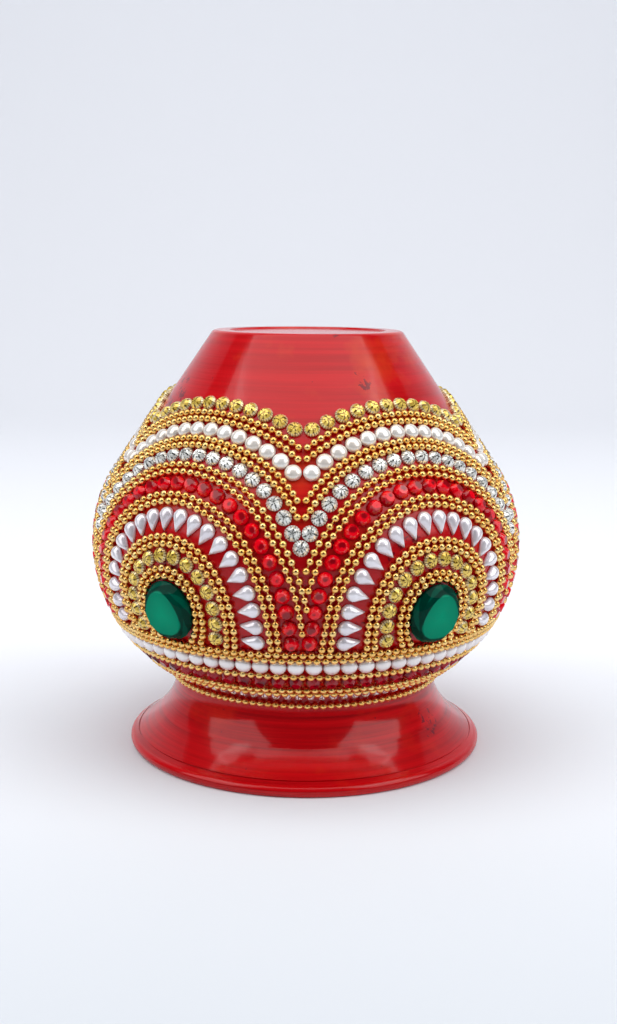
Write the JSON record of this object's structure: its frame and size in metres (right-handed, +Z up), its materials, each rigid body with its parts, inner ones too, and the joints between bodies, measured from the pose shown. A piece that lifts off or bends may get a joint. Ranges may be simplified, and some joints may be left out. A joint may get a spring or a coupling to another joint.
{
  "type": "decorated kalash pot",
  "caption": "Small round-bellied brass lota with a flared mouth, lacquered red and covered in arches of ball chain, half pearls and glued stones, resting mouth down",
  "frame": {"origin": "centre of the mouth rim's plane, the lowest plane of the pot as it rests mouth down", "axes": "+Z up through the base disc, along the pot's axis; -Y is the side the picture shows"},
  "size_m": [0.1329, 0.1347, 0.129],
  "materials": {
    "red_lacquer": "glossy red lacquer over spun brass",
    "gold_chain": "gold-coloured plated ball chain",
    "pearl": "pearl lustre",
    "clear_stone": "foil-backed clear faceted stone",
    "gold_stone": "foil-backed gold faceted stone",
    "red_stone": "foil-backed red faceted stone",
    "dark_red_stone": "foil-backed dark red faceted stone",
    "green_stone": "foil-backed green faceted stone"
  },
  "bodies": {
    "root": {"base_shell": "red_lacquer", "shoulder_shell": "red_lacquer", "mouth_collar": "red_lacquer", "band_chain_1": "gold_chain", "band_crystals": "clear_stone", "band_chain_2": "gold_chain", "band_chain_3": "gold_chain", "band_red_stones": "dark_red_stone", "band_chain_4": "gold_chain", "band_pearls": "pearl", "band_chain_5": "gold_chain", "band_chain_6": "gold_chain", "oval_gems": "green_stone", "arch_chain_1": "gold_chain", "arch_chain_2": "gold_chain", "gold_stones_inner": "gold_stone", "arch_chain_3": "gold_chain", "arch_chain_4": "gold_chain", "teardrop_pearls": "pearl", "arch_chain_5": "gold_chain", "arch_chain_6": "gold_chain", "arch_red_stones": "red_stone", "arch_chain_7": "gold_chain", "arch_chain_8": "gold_chain", "clear_stones": "clear_stone", "arch_chain_9": "gold_chain", "arch_chain_10": "gold_chain", "arch_pearls": "pearl", "arch_chain_11": "gold_chain", "arch_chain_12": "gold_chain", "gold_stones_outer": "gold_stone"}
  },
  "joints": []
}
